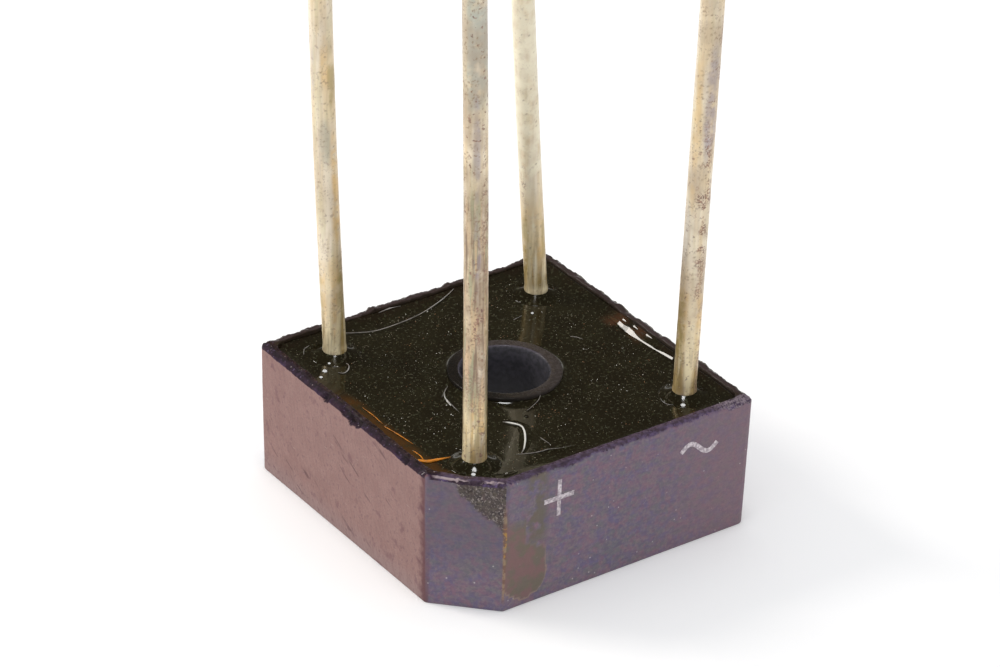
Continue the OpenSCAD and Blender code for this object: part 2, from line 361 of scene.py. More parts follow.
# long flat flanks that catch the lamp from the left: points along each with half width
resinFlanks = [
    [(6.64, 1.65, 0.01), (6.62, 1.2, 0.06), (6.6, 0.8, 0.08), (6.58, 0.45, 0.075), (6.57, 0.1, 0.12),
     (6.56, -0.25, 0.11), (6.56, -0.6, 0.05), (6.58, -1.0, 0.028), (6.61, -1.5, 0.035), (6.65, -1.9, 0.02),
     (6.7, -2.3, 0.045), (6.76, -2.9, 0.05), (6.8, -3.15, 0.01)],
    [(6.95, 1.2, 0.01), (6.95, 0.95, 0.035), (6.96, 0.7, 0.01)],
    [(6.97, 0.5, 0.01), (6.97, 0.2, 0.04), (6.98, -0.1, 0.01)],
    [(6.99, -0.4, 0.01), (6.99, -0.7, 0.035), (7.0, -1.1, 0.01)],
    [(-3.05, 0.1, 0.01), (-3.27, -0.2, 0.03), (-3.42, -0.6, 0.035), (-3.47, -1.0, 0.01)],
]
flankSettings = {"lean": (-0.705, -0.04, 0.708), "lift": 0.09 * mm, "fullHalf": 0.1, "depth": 0.15 * mm}


def leadLine(name):
    m = mounts[name]
    middle, axis = Vector(m["pos_m"]), Vector(m["axis"]).normalized()
    half = m["dims"]["length_mm"] * mm / 2
    return middle - axis * half, middle + axis * half, axis, m["dims"]["r_mm"] * mm


leadLines = {name: leadLine(name) for name in leadNames}


def wallDistance(x, y):
    reach = caseHalf - cupSettings["wall"]
    cut = cupSettings["cornerCut"] - cupSettings["wall"] * (2 - math.sqrt(2))
    return min(reach - abs(x), reach - abs(y), (x + y + 2 * reach - cut) / math.sqrt(2))


# how far a place is inside a ridge whose half width changes along it
def insideRidge(x, y, line):
    best = 0.0
    for (ax, ay, aw), (bx, by, bw) in zip(line, line[1:]):
        t = ((x - ax) * (bx - ax) + (y - ay) * (by - ay)) / ((bx - ax) ** 2 + (by - ay) ** 2)
        t = min(max(t, 0), 1)
        away = math.hypot(x - mixValues(ax, bx, t), y - mixValues(ay, by, t))
        best = max(best, mixValues(aw, bw, t) - away)
    return best


def resinHeight(x, y):
    s = pourSettings
    p = Vector((x, y, 0))
    band = s["wallBand"] * (1.15 + 0.5 * lumps(p, 1.7))
    far = smoothstep(-5 * mm, 5 * mm, x + y)
    climb = mixValues(s["nearClimb"], s["farClimb"], far) * (1.0 + 0.35 * lumps(p, 1.1))
    z = resinTop + climb * max(0, 1 - wallDistance(x, y) / band) ** 2
    tube = math.hypot(x, y) - tubeRadius
    z += s["tubeClimb"] * max(0, 1 - max(tube, 0) / s["tubeBand"]) ** 2
    z += s["wave"] * lumps(p, 2.4) + 0.35 * s["wave"] * lumps(p, 0.9)
    px, py = x / mm, y / mm
    for slope, line in resinRidges:
        if min(q[0] for q in line) - 0.4 < px < max(q[0] for q in line) + 0.4:
            z += slope * mm * insideRidge(px, py, line) * (1 + 0.12 * lumps(p, 0.35))
    return z


def collarShape(out):
    return max(0, 1 - out / pourSettings["postBand"]) ** pourSettings["postCurve"]


def leadGaps(x, y):
    return {name: math.hypot(x - foot.x, y - foot.y) - radius
            for name, (foot, tip, axis, radius) in leadLines.items()}


def postClimb(x, y):
    rises = pourSettings["postClimb"]
    return sum(rises[name] * collarShape(max(gap, 0)) for name, gap in leadGaps(x, y).items())


def makePour():
    s, c = pourSettings, cupSettings
    deep, corner = caseTop - c["floor"], c["pocketRadius"]

    def onTop(ring, share=0.0):  # share of the climb at the leads
        return [(x, y, resinHeight(x, y) + share * postClimb(x, y)) for x, y, z in ring]

    rings = []
    for z in (1.0, 3.0, 4.8, 5.6, 5.8):
        inset = c["wall"] + c["wallTaper"] * (caseTop - z * mm) / deep
        rings.append(squareRing(z * mm, inset, corner, corner))
    for i in range(s["wallRings"] + 1):  # rings along the wall, close together
        inset = c["wall"] + 0.0055 * mm + s["wallBand"] * i / s["wallRings"]
        rings.append(onTop(squareRing(0, inset, corner, corner)))
    last, hub = rings[-1], roundRing(resinTop, tubeRadius + s["tubeBand"])
    for i in range(1, s["rings"] + 1):
        rings.append(onTop(blendRings(last, hub, i / s["rings"]), s["underCollar"]))
    for i in range(1, s["tubeRings"] + 1):
        rings.append(onTop(roundRing(0, tubeRadius + s["tubeBand"] * (1 - i / s["tubeRings"]))))
    for z in (5.8, 4.0, 1.0):
        rings.append(roundRing(z * mm, tubeRadius))
    low = rings[-1]
    for t in (0.35, 0.7):
        rings.append(blendRings(low, rings[0], t))
    pour = addPiece("resin_pour", [p for ring in rings for p in ring], ringFaces(len(rings), columns, True))
    edges, dust = [], []
    for v in pour.data.vertices:
        x, y, z = v.co
        near = wallDistance(x, y)
        away = min(math.hypot(x, y) - tubeRadius, *leadGaps(x, y).values())
        left = smoothstep(-6.0 * mm, -6.6 * mm, x) * smoothstep(3.4 * mm, 1.4 * mm, y)
        soak = 0.55 + 0.65 * left + 0.3 * lumps(v.co, 0.7)
        edges.append((1 - smoothstep(0.15 * mm, soak * mm, near)) * (0.5 + 0.5 * left))
        clear = smoothstep(0.25 * mm, 1.0 * mm, near) * smoothstep(0.15 * mm, 0.6 * mm, away)
        dust.append(clear if z > resinTop - 0.05 * mm else 0.0)
    storeValues(pour, "thinEdge", edges)
    storeValues(pour, "dust", dust)
    return pour


# smooth climbs of resin at the leads' feet, and bubbles, finer than the pour's own grid
def makeCollars():
    s, around, steps = pourSettings, 72, 14
    sink, lift, tip = 0.06 * mm, 0.004 * mm, 0.0005 * mm
    points, faces = [], []

    def addDisc(cx, cy, radii, heights):
        faces.extend(ringFaces(len(radii), around, True, len(points)))
        for r, z in zip(radii, heights):
            for a in turns(around):
                x, y = cx + r * math.cos(a), cy + r * math.sin(a)
                points.append((x, y, resinHeight(x, y) + z))

    for name, (foot, end, axis, radius) in leadLines.items():
        rise = s["postClimb"][name]
        outs = [s["postBand"] * (1 - i / (steps - 1)) for i in range(steps)]
        radii = [radius + out for out in outs] + [radius - 0.03 * mm] * 2 + [radius + s["postBand"]]
        heights = [rise * collarShape(out) + lift for out in outs]
        addDisc(foot.x, foot.y, radii, heights + [rise * 0.9, -sink, -sink])
    for x, y, size, rise in resinBubbles:
        tilts = [math.pi / 2 * i / 9 for i in range(9)]
        radii = [size * mm * math.cos(a) for a in tilts] + [tip, tip, size * mm]
        heights = [rise * mm * math.sin(a) for a in tilts]
        addDisc(x * mm, y * mm, radii, heights + [rise * mm, -0.04 * mm, -0.04 * mm])
    return addPiece("resin_collars", points, faces)


def makeFacets():
    points, faces = [], []
    s, up = facetSettings, Vector((0, 0, 1))
    lean, count = Vector(s["lean"]), s["around"]
    side = lean.cross(up).normalized()
    for x, y, radius in resinFacets:
        start = len(points)
        middle = Vector((x * mm, y * mm, resinHeight(x * mm, y * mm) + postClimb(x * mm, y * mm) + s["lift"]))
        for shrink, drop in ((1.0, 0.0), (0.6, 0.08)):
            for a in turns(count):
                out = side * math.cos(a) + lean.cross(side) * math.sin(a) * 0.75
                points.append(middle + out * radius * shrink * mm - up * (drop * mm))
        faces.append(tuple(start + j for j in range(count)))
        faces.append(tuple(start + count + j for j in reversed(range(count))))
        faces += [face[::-1] for face in ringFaces(2, count, start=start)]
    s, lean = flankSettings, Vector(flankSettings["lean"])
    for line in resinFlanks:
        start = len(points)
        for i, (x, y, half) in enumerate(line):
            before, after = line[max(i - 1, 0)], line[min(i + 1, len(line) - 1)]
            along = Vector((after[0] - before[0], after[1] - before[1], 0)).normalized()
            across = lean.cross(along).normalized() * half * mm
            lift = s["lift"] * min(half / s["fullHalf"], 1) + 0.01 * mm
            middle = Vector((x * mm, y * mm, resinHeight(x * mm, y * mm) + lift))
            points += [middle - across, middle + across, middle - up * s["depth"]]
        end = len(points) - 3
        faces += [face[::-1] for face in ringFaces(len(line), 3, start=start)]
        faces += [(start, start + 1, start + 2), (end + 2, end + 1, end)]
    facets = addPiece("resin_facets", points, faces)
    facets.data.shade_flat()
    return facets


# the leads

wireSettings = {
    "headDiameter": 1.5 * mm, "headThickness": 0.25 * mm, "headEdge": 0.03 * mm, "shankSwell": 0.06 * mm,
    "shankRings": 18, "tipChamfer": 0.06 * mm, "around": 60, "step": 0.065 * mm, "pitDepth": 0.012 * mm,
    "pitsPerMm": 7.0, "wobble": 0.014 * mm, "stainFrom": (0.82, -0.57, 0.0), "bowAlong": (0.82, -0.57, 0.0),
    "worn": {"lead_positive": 0.8, "lead_ac_1": 0.35, "lead_negative": 0.15, "lead_ac_2": 0.6},
    "bow": {"lead_positive": 0.06 * mm, "lead_ac_1": -0.08 * mm, "lead_negative": -0.05 * mm,
            "lead_ac_2": 0.0},
}
# stains and painted light of each kind on each wire: pale is painted highlight, olive is partly olive tarnish
# and partly painted shade at the wires' sides and painted reflection of the dark resin near their feet, the
# other kinds are stains; height of the middle and half height in millimetres, side of the middle from -1 to
# 1, half width, strength
wireStainsAndPaintedLight = {
    "lead_positive": {
        "grey": [(25, 3.5, 0, 2, 0.9)], "lilac": [(20.5, 3, 0.2, 0.35, 0.8), (16.3, 2.4, 0.2, 0.35, 1)],
        "dull": [(11, 5, 0.9, 0.3, 0.6), (13, 6.5, 0, 3, 1)],
        "rust": [(17.5, 4, 0.85, 0.35, 0.9), (13.2, 1.8, 0.3, 0.6, 1), (9.5, 2.2, -0.1, 1, 0.5)],
        "gold": [(7.4, 2.4, 0, 2, 1), (24, 5, -0.8, 0.3, 0.4)], "pale": [(7, 0.9, 0.3, 0.35, 1)],
        "olive": [(14, 8, -0.95, 0.25, 0.7), (14, 8, 0.98, 0.2, 0.6), (18.5, 3, 0.1, 0.5, 0.3)]},
    "lead_ac_1": {
        "grey": [(16.5, 1.3, -0.1, 0.5, 0.55)], "lilac": [(19.5, 1.5, -0.9, 0.2, 0.4)],
        "rust": [(12, 1.5, -0.6, 0.4, 0.3)], "pale": [(8, 3.5, -0.3, 0.35, 0.6), (6.5, 0.4, 0.2, 0.6, 0.8)],
        "gold": [(20, 1.5, 0.1, 0.4, 0.6), (14.2, 3.2, 0.6, 0.35, 1), (8, 3.5, 0, 3, 0.8)],
        "olive": [(19.2, 1.8, 0.6, 0.35, 0.7), (8.3, 3.2, 0.8, 0.5, 1), (8, 2.5, -1, 0.25, 0.7)]},
    "lead_negative": {
        "grey": [(10.5, 1.4, -0.8, 0.3, 0.6)], "rust": [(11.4, 1.2, -0.65, 0.3, 0.6)],
        "gold": [(8.5, 3.5, 0, 3, 1), (9.5, 2, 0.6, 0.5, 0.4)],
        "pale": [(17, 8.5, 0, 3, 1), (8.6, 2.6, 0, 0.22, 1), (6.4, 0.35, 0, 1.5, 0.8)],
        "olive": [(8.2, 2.6, -0.75, 0.4, 0.9), (8, 3, 0.9, 0.3, 0.8), (6.6, 0.9, 0.4, 0.6, 0.7)]},
    "lead_ac_2": {
        "lilac": [(20.3, 3, 0.45, 0.6, 0.8)], "gold": [(19, 4, -0.6, 0.4, 0.5), (8.5, 4, 0, 3, 1)],
        "rust": [(15, 4.4, 0.35, 0.7, 1), (12, 2.5, 0.5, 0.5, 0.8), (22, 2, 0.95, 0.25, 0.7),
                 (8, 3.5, 0.95, 0.2, 0.8)],
        "olive": [(8.5, 3.6, -0.8, 0.4, 1)], "pale": [(8.8, 4.2, 0.1, 0.5, 0.75)]},
}
stainAndPaintedLightKinds = ("grey", "lilac", "rust", "gold", "olive", "pale", "dull")


def makeWire(name):
    s = wireSettings
    foot, tip, axis, radius = leadLines[name]
    shank, head, edge = radius + s["shankSwell"] / 2, s["headDiameter"] / 2, s["headEdge"]
    up, side, base, thick = Vector((0, 0, 1)), Vector((1, 0, 0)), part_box(name)[0].z, s["headThickness"]
    under, shift = Vector((foot.x, foot.y, base)), Vector((foot.x, foot.y, 0)) * 3
    straight = foot.z - 0.05 * mm - base - thick
    rises = [(0, head - edge), (edge, head), (thick - edge, head), (thick, head - edge), (thick, shank)]
    rises += [(thick + straight * i / s["shankRings"], shank) for i in range(1, s["shankRings"] + 1)]
    profile = [(under + up * rise, up, r) for rise, r in rises]
    length = (tip - foot).length
    count = int(length / s["step"])
    for i in range(count + 1):
        t = i / count
        bow = Vector(s["bowAlong"]) * s["bow"][name] * math.sin(math.pi * t)
        thinned = mixValues(shank, radius, smoothstep(0, 0.012, t))
        profile.append((foot + axis * length * t + bow, axis, thinned))
    end = tip + axis * s["tipChamfer"]
    profile.append((end, axis, radius - s["tipChamfer"]))
    points, around = [], s["around"]
    for centre, direction, r in profile:
        u = (side - direction * side.dot(direction)).normalized()
        w = direction.cross(u)
        for a in turns(around):
            out = u * math.cos(a) + w * math.sin(a)
            p = centre + out * r
            if centre.z > resinTop:
                p += out * s["wobble"] * lumps(p + shift, 1.3) * 0.5
            points.append(p)
    faces, first = ringFaces(len(profile), around), len(points)
    points += [under, end]
    last, top = first + 1, first - around
    for j in range(around):
        k = (j + 1) % around
        faces += [(k, j, first), (top + j, top + k, last)]
    wire = addPiece(name + "_wire", points, faces)
    stainsAndPaintedLight = {kind: [0.0] * len(points) for kind in stainAndPaintedLightKinds}
    for i, p in enumerate(points):
        t = min(max((p.z - foot.z) / (tip.z - foot.z), 0), 1)
        turn = (p - (foot + (tip - foot) * t)).dot(Vector(s["stainFrom"])) / radius
        shake = 0.35 * lumps(p + shift, 1.1)
        for kind, spots in wireStainsAndPaintedLight[name].items():
            for height, halfHeight, place, halfWidth, strength in spots:
                away = math.hypot((p.z / mm - height) / halfHeight, (turn - place) / halfWidth) + shake
                stainsAndPaintedLight[kind][i] = max(stainsAndPaintedLight[kind][i], strength * smoothstep(1.15, 0.45, away))
    for kind, values in stainsAndPaintedLight.items():
        storeValues(wire, kind, values)
    return wire


# threads that lie on the resin: fibres, pale threads that stand in for glints on the resin (painted
# highlights) and orange threads that stand in for glints in the amber resin (painted highlights); x, y, lift
# above it and radius, all in millimetres

threadSettings = {
    "resin_threads_and_glints": {"flat": 1.0, "lines": [
        [(-3.9, 6.6, 0.02, 0.01), (-3.3, 6.2, 0.05, 0.019), (-2.6, 5.92, 0.08, 0.019),
         (-1.4, 5.9, 0.1, 0.019), (-0.2, 6.1, 0.08, 0.019), (1.2, 6.6, 0.05, 0.024),
         (2.2, 7.05, 0.03, 0.016)],
        [(4.25, 1.1, 0.01, 0.012), (4.45, 0.85, 0.02, 0.015), (4.55, 0.6, 0.01, 0.012)],
        [(-1.7, -5.0, 0.01, 0.012), (-1.66, -5.6, 0.01, 0.012)],
        [(-6.3, 6.0, 0.01, 0.015), (-6.05, 6.35, 0.02, 0.02), (-5.7, 6.5, 0.01, 0.015)],
        # a pale thread standing in for glints on the far wall: painted highlight
        [(-1.75, 7.06, 0.0, 0.01), (-1.2, 7.08, 0.02, 0.025), (-0.6, 7.06, 0.0, 0.01)],
        [(3.0, 3.6, 0.01, 0.012), (3.5, 3.7, 0.01, 0.012)],
        # from here on, pale threads standing in for glints on ripples of the resin and round its bubbles:
        # painted highlights
        [(-2.64, 0.45, 0.0, 0.008), (-3.25, -0.19, 0.11, 0.022), (-3.48, -0.75, 0.11, 0.026),
         (-3.42, -1.5, 0.03, 0.008)],
        [(0.34, -2.1, 0.01, 0.01), (0.02, -2.54, 0.01, 0.013), (-0.51, -2.81, 0.01, 0.013),
         (-0.93, -2.93, 0.0, 0.008)],
        [(-5.3, 4.72, 0.02, 0.006), (-5.18, 4.24, 0.03, 0.016), (-5.4, 3.9, 0.03, 0.024),
         (-5.71, 3.75, 0.03, 0.02), (-5.9, 3.93, 0.02, 0.01)],
        [(4.42, -5.15, 0.01, 0.008), (4.33, -5.4, 0.02, 0.014), (4.38, -5.76, 0.02, 0.014),
         (4.75, -6.0, 0.01, 0.008)],
        [(-2.3, -3.1, 0.0, 0.01), (-2.08, -3.45, 0.02, 0.04), (-1.9, -3.85, 0.02, 0.034),
         (-1.98, -4.2, 0.02, 0.04), (-2.2, -4.6, 0.02, 0.042), (-2.5, -5.02, 0.02, 0.036),
         (-2.82, -5.38, 0.01, 0.028), (-3.05, -5.55, 0.0, 0.012)],
        [(-3.3, -5.5, 0.0, 0.008), (-2.7, -5.8, 0.02, 0.016), (-2.03, -5.96, 0.02, 0.018),
         (-1.5, -6.15, 0.0, 0.008)]]},
    # bright orange threads by the left wall that stand in for glints in the amber resin: painted highlights
    "resin_painted_glints": {"flat": 0.5, "lines": [
        [(-6.6, 1.0, 0.02, 0.01), (-6.58, 0.2, 0.03, 0.025), (-6.62, -0.6, 0.02, 0.01)],
        [(-6.68, -0.75, 0.02, 0.015), (-6.55, -1.6, 0.03, 0.035), (-6.44, -2.6, 0.02, 0.01)],
        [(-7.0, -3.75, 0.03, 0.05), (-6.75, -4.02, 0.03, 0.11), (-6.25, -4.12, 0.02, 0.08),
         (-5.65, -4.22, 0.0, 0.02)],
        [(-6.72, -3.0, 0.0, 0.02), (-6.7, -3.5, 0.01, 0.03), (-6.8, -3.9, 0.0, 0.02)]]},
}


# a smooth curve through the points of a line
def smoothed(line, steps=6):
    path = []
    for i in range(len(line) - 1):
        four = (line[max(i - 1, 0)], line[i], line[i + 1], line[min(i + 2, len(line) - 1)])
        for t in (k / steps for k in range(steps)):
            path.append([0.5 * (2 * b + (c - a) * t + (2 * a - 5 * b + 4 * c - d) * t * t
                                + (3 * b - a - 3 * c + d) * t ** 3) for a, b, c, d in zip(*four)])
    return path + [line[-1]]


# closed thin tubes along the lines
def makeThreads(name, sides=6):
    points, faces, glint = [], [], []
    flat = threadSettings[name]["flat"]
    for path in map(smoothed, threadSettings[name]["lines"]):
        start = len(points)
        for k, (x, y, lift, radius) in enumerate(path):
            ahead, behind = path[min(k + 1, len(path) - 1)], path[max(k - 1, 0)]
            dx, dy = ahead[0] - behind[0], ahead[1] - behind[1]
            z = resinHeight(x * mm, y * mm) / mm + lift
            # a thread's painted highlight grows with its thickness
            glint += [min(radius / 0.04, 1.0)] * sides  # the thicker, the brighter
            for turn in turns(sides):
                out, rise = radius * math.cos(turn) / math.hypot(dx, dy), math.sin(turn) * radius * flat
                points.append(((x - dy * out) * mm, (y + dx * out) * mm, (z + rise) * mm))
        faces += ringFaces(len(path), sides, start=start)
        last = len(points) - sides
        faces += [tuple(start + sides - 1 - j for j in range(sides)), tuple(last + j for j in range(sides))]
    piece = addPiece(name, points, faces)
    storeValues(piece, "glint", glint)
    return piece


# polarity signs in thin raised ink on the front side, in millimetres: x along the side and z up

printSettings = {
    "ink": 0.012, "sunk": 0.02, "signHeight": 1.75, "stroke": 0.22, "plusAt": (-2.55, 4.75),
    "plusWidth": 0.86, "waveAt": (4.7, 4.75), "waveLength": 1.9, "waveRise": 0.3, "waveSteps": 40,
    "taperTop": 6.12,
}


def makePrint():
    s = printSettings
    points, faces = [], []

    def prism(loop):
        start, count = len(points), len(loop)
        for depth in (s["sunk"], -s["ink"]):
            for x, z in loop:
                y = -caseHalf / mm + cupSettings["sideTaper"] / mm * (1 - z / s["taperTop"])
                points.append((x * mm, (y + depth) * mm, z * mm))
        faces.extend(ringFaces(2, count, start=start))
        faces.append(tuple(start + count + i for i in range(count)))
        faces.append(tuple(start + count - 1 - i for i in range(count)))

    (px, pz), w, h = s["plusAt"], s["stroke"] / 2, s["signHeight"] / 2
    cross = [(-w, -h), (w, -h), (w, -w), (h, -w), (h, w), (w, w), (w, h), (-w, h), (-w, w), (-h, w),
             (-h, -w), (-w, -w)]
    prism([(px + x * s["plusWidth"], pz + z) for x, z in cross])
    (wx, wz), upper, lower = s["waveAt"], [], []
    for i in range(s["waveSteps"] + 1):
        t = i / s["waveSteps"]
        x, z = (t - 0.5) * s["waveLength"], s["waveRise"] * math.sin(2 * math.pi * t)
        slope = s["waveRise"] * 2 * math.pi / s["waveLength"] * math.cos(2 * math.pi * t)
        nx, nz = -slope / math.hypot(1, slope), 1 / math.hypot(1, slope)
        upper.append((wx + x + nx * w, wz + z + nz * w))
        lower.append((wx + x - nx * w, wz + z - nz * w))
    prism(lower + upper[::-1])
    return addPiece("print_polarity", points, faces)


cup = makeCup()
print("cup:", len(cup.data.polygons), "faces")
pour = makePour()
print("resin:", len(pour.data.polygons), "faces")
wires = {name: makeWire(name) for name in leadNames}
print("wires:", sum(len(w.data.polygons) for w in wires.values()), "faces")
collars, facets = makeCollars(), makeFacets()
threadsAndGlints, paintedGlints = makeThreads("resin_threads_and_glints"), makeThreads("resin_painted_glints")
signs = makePrint()
print("resin's details and print done")

# writing node trees

# sets inputs of a node: a field or socket is linked, anything else is the input's value
def fillInputs(node, inputs):
    for key, value in inputs.items():
        value, socket = getattr(value, "socket", value), node.inputs[key]
        if isinstance(value, bpy.types.NodeSocket):
            node.id_data.links.new(value, socket)
        elif socket.type == "RGBA":
            socket.default_value = (*value, 1) if isinstance(value, tuple) else (value, value, value, 1)
        else:
            socket.default_value = value


def addNode(tree, kind, inputs=None, **settings):
    node = tree.nodes.new(kind)
    for key, value in settings.items():
        setattr(node, key, value)
    fillInputs(node, inputs or {})
    return node


# an output socket that can be reckoned with; every step adds a node of its own
class Field:
    def __init__(self, socket):
        self.socket = socket

    def math(self, operation, a, b=0.0):
        return addField(self.socket.id_data, "ShaderNodeMath", {0: a, 1: b}, operation=operation)

    def __add__(self, other):
        return self.math("ADD", self, other)

    def __radd__(self, other):
        return self.math("ADD", other, self)

    def __sub__(self, other):
        return self.math("SUBTRACT", self, other)

    def __rsub__(self, other):
        return self.math("SUBTRACT", other, self)

    def __mul__(self, other):
        return self.math("MULTIPLY", self, other)

    def __abs__(self):
        return self.math("ABSOLUTE", self)

    def max(self, other):
        return self.math("MAXIMUM", self, other)

    def min(self, other):
        return self.math("MINIMUM", self, other)

    def below(self, other):
        return self.math("LESS_THAN", self, other)

    # goes from start to end while the field goes from low to high
    def ramp(self, low, high, start=0.0, end=1.0, kind="SMOOTHSTEP"):
        inputs = {"Value": self, "From Min": low, "From Max": high, "To Min": start, "To Max": end}
        return addField(self.socket.id_data, "ShaderNodeMapRange", inputs, interpolation_type=kind)

    def vector(self, operation, other=None, scale=None):
        inputs = {0: self, "Scale": scale} if other is None else {0: self, 1: other}
        return addField(self.socket.id_data, "ShaderNodeVectorMath", inputs, operation=operation)

    def axes(self):
        node = addNode(self.socket.id_data, "ShaderNodeSeparateXYZ", {"Vector": self})
        return [Field(node.outputs[axis]) for axis in "XYZ"]


def addField(tree, kind, inputs=None, output=0, **settings):
    return Field(addNode(tree, kind, inputs, **settings).outputs[output])


# a random colour for each cell, and the distance from the cell's middle
def addCells(tree, place, scale):
    cells = addNode(tree, "ShaderNodeTexVoronoi", {"Vector": place, "Scale": scale})
    return Field(cells.outputs["Color"]), Field(cells.outputs["Distance"])


def addNoise(tree, place, scale, detail, output="Fac"):
    return addField(tree, "ShaderNodeTexNoise", {"Vector": place, "Scale": scale, "Detail": detail}, output)


def splitColour(tree, colour):
    node = addNode(tree, "ShaderNodeSeparateColor", {"Color": colour})
    return [Field(node.outputs[part]) for part in ("Red", "Green", "Blue")]


# a node group, its inputs as fields by label, and its output node; an input has a label, a kind of socket
# and, where it is set, a first value
def newGroup(treeKind, name, inputs, outputs):
    group = bpy.data.node_groups.new(name, treeKind)
    for label, kind, *value in inputs:
        socket = group.interface.new_socket(label, in_out="INPUT", socket_type="NodeSocket" + kind)
        if value:
            socket.default_value = value[0]
    for label, kind in outputs:
        group.interface.new_socket(label, in_out="OUTPUT", socket_type="NodeSocket" + kind)
    given = {socket.name: Field(socket) for socket in group.nodes.new("NodeGroupInput").outputs}
    return group, given, group.nodes.new("NodeGroupOutput")


# worn and repeated shapes, by geometry nodes

# realizes the geometry, gives it its material and puts it out
def finishTree(group, outside, geometry, material):
    whole = addField(group, "GeometryNodeRealizeInstances", {"Geometry": geometry})
    dressed = addField(group, "GeometryNodeSetMaterial", {"Geometry": whole, "Material": material})
    fillInputs(outside, {0: dressed})
    return group


# runs a tree on a piece and keeps the result as the piece's plain mesh
def applyTree(piece, group, values):
    modifier = piece.modifiers.new(group.name, "NODES")
    modifier.node_group = group
    for item in group.interface.items_tree:
        if item.in_out == "INPUT" and item.name in values:
            modifier[item.identifier] = values[item.name]
    graph = bpy.context.evaluated_depsgraph_get()
    result = bpy.data.meshes.new_from_object(piece.evaluated_get(graph))
    piece.modifiers.remove(modifier)
    old, piece.data = piece.data, result
    bpy.data.meshes.remove(old)


# shallow pits in a wire's skin, whose mask is kept as an attribute, and a fine unevenness
def makePitTree(material):
    group, given, outside = newGroup(
        "GeometryNodeTree", "WirePits",
        [("Geometry", "Geometry"), ("Depth", "Float"), ("Pits per mm", "Float"), ("Worn share", "Float"),
         ("Seed", "Float")], [("Geometry", "Geometry")])
    inMm = addField(group, "GeometryNodeInputPosition").vector("SCALE", scale=1 / mm)
    shift = addField(group, "ShaderNodeCombineXYZ", {"X": given["Seed"], "Y": given["Seed"]})
    place = inMm.vector("ADD", shift)
    colour, distance = addCells(group, place, given["Pits per mm"])
    patch = addNoise(group, place, 0.7, 3.0).ramp(0.42, 0.66, kind="LINEAR")
    pit = distance.ramp(0.42, 0.15, kind="LINEAR") * colour.axes()[0].below(patch * given["Worn share"])
    inward = (pit + (addNoise(group, place, 7.0, 2.0) - 0.5) * 0.9) * given["Depth"] * -1.0
    offset = addField(group, "GeometryNodeInputNormal").vector("SCALE", scale=inward)
    free = addField(group, "FunctionNodeCompare", {0: inMm.axes()[2], 1: resinTop / mm + 0.15},
                    operation="GREATER_THAN")
    stored = addField(group, "GeometryNodeStoreNamedAttribute",
                      {"Geometry": given["Geometry"], "Name": "pit", "Value": pit})
    shaped = addField(group, "GeometryNodeSetPosition",
                      {"Geometry": stored, "Selection": free, "Offset": offset})
    return finishTree(group, outside, shaped, material)


dustSettings = {"Flakes per square mm": 24.0, "Smallest": 0.014, "Largest": 0.052, "Seed": 4}


# flakes of dust on the resin, thicker where the dust attribute is high
def makeDustTree(material):
    group, given, outside = newGroup(
        "GeometryNodeTree", "DustFlakes",
        [("Geometry", "Geometry"), ("Flakes per square mm", "Float"), ("Smallest", "Float"),
         ("Largest", "Float"), ("Seed", "Int")], [("Geometry", "Geometry")])
    where = addField(group, "GeometryNodeInputNamedAttribute", {"Name": "dust"}, data_type="FLOAT")
    cloud = addNoise(group, addField(group, "GeometryNodeInputPosition"), 700.0, 2.0)
    density = where * cloud.ramp(0.35, 0.65, 0.25, 1.0, "LINEAR") * (given["Flakes per square mm"] * 1e6)
    spots = addField(group, "GeometryNodeDistributePointsOnFaces",
                     {"Mesh": given["Geometry"], "Density": density, "Seed": given["Seed"]}, "Points")
    flake = addField(group, "GeometryNodeMeshIcoSphere", {"Radius": 0.5 * mm, "Subdivisions": 1}, "Mesh")
    size = addField(group, "FunctionNodeRandomValue",
                    {2: given["Smallest"], 3: given["Largest"], "Seed": given["Seed"]}, 1, data_type="FLOAT")
    shape = addField(group, "FunctionNodeRandomValue", {0: (0.6, 0.6, 0.35), 1: (1.5, 1.2, 0.8)},
                     data_type="FLOAT_VECTOR")
    turn = addField(group, "FunctionNodeRandomValue", {0: (-0.5, -0.5, 0.0), 1: (0.5, 0.5, 6.28)},
                    data_type="FLOAT_VECTOR")
    placed = addField(group, "GeometryNodeInstanceOnPoints",
                      {"Points": spots, "Instance": flake, "Rotation": turn,
                       "Scale": shape.vector("SCALE", scale=size)})
    return finishTree(group, outside, placed, material)


# masks that the materials share

# cloudy patches between two levels of a noise
def makeBlotchGroup():
    group, given, outside = newGroup(
        "ShaderNodeTree", "Blotches",
        [("Vector", "Vector"), ("Scale", "Float", 1.0), ("Detail", "Float", 4.0), ("Low", "Float", 0.45),
         ("High", "Float", 0.6)], [("Mask", "Float")])
    cloud = addNoise(group, given["Vector"], given["Scale"], given["Detail"])
    fillInputs(outside, {"Mask": cloud.ramp(given["Low"], given["High"])})
    return group


# small round specks, each in its own cell, of which Share are kept; Tone differs from speck to speck
def makeSpeckGroup():
    group, given, outside = newGroup(
        "ShaderNodeTree", "Specks",
        [("Vector", "Vector"), ("Scale", "Float", 8.0), ("Share", "Float", 0.3), ("Size", "Float", 0.3)],
        [("Mask", "Float"), ("Tone", "Float")])
    colour, distance = addCells(group, given["Vector"], given["Scale"])
    red, green, blue = splitColour(group, colour)
    mask = distance.ramp(given["Size"] * green, 0.0) * red.below(given["Share"])
    fillInputs(outside, {"Mask": mask, "Tone": blue})
    return group


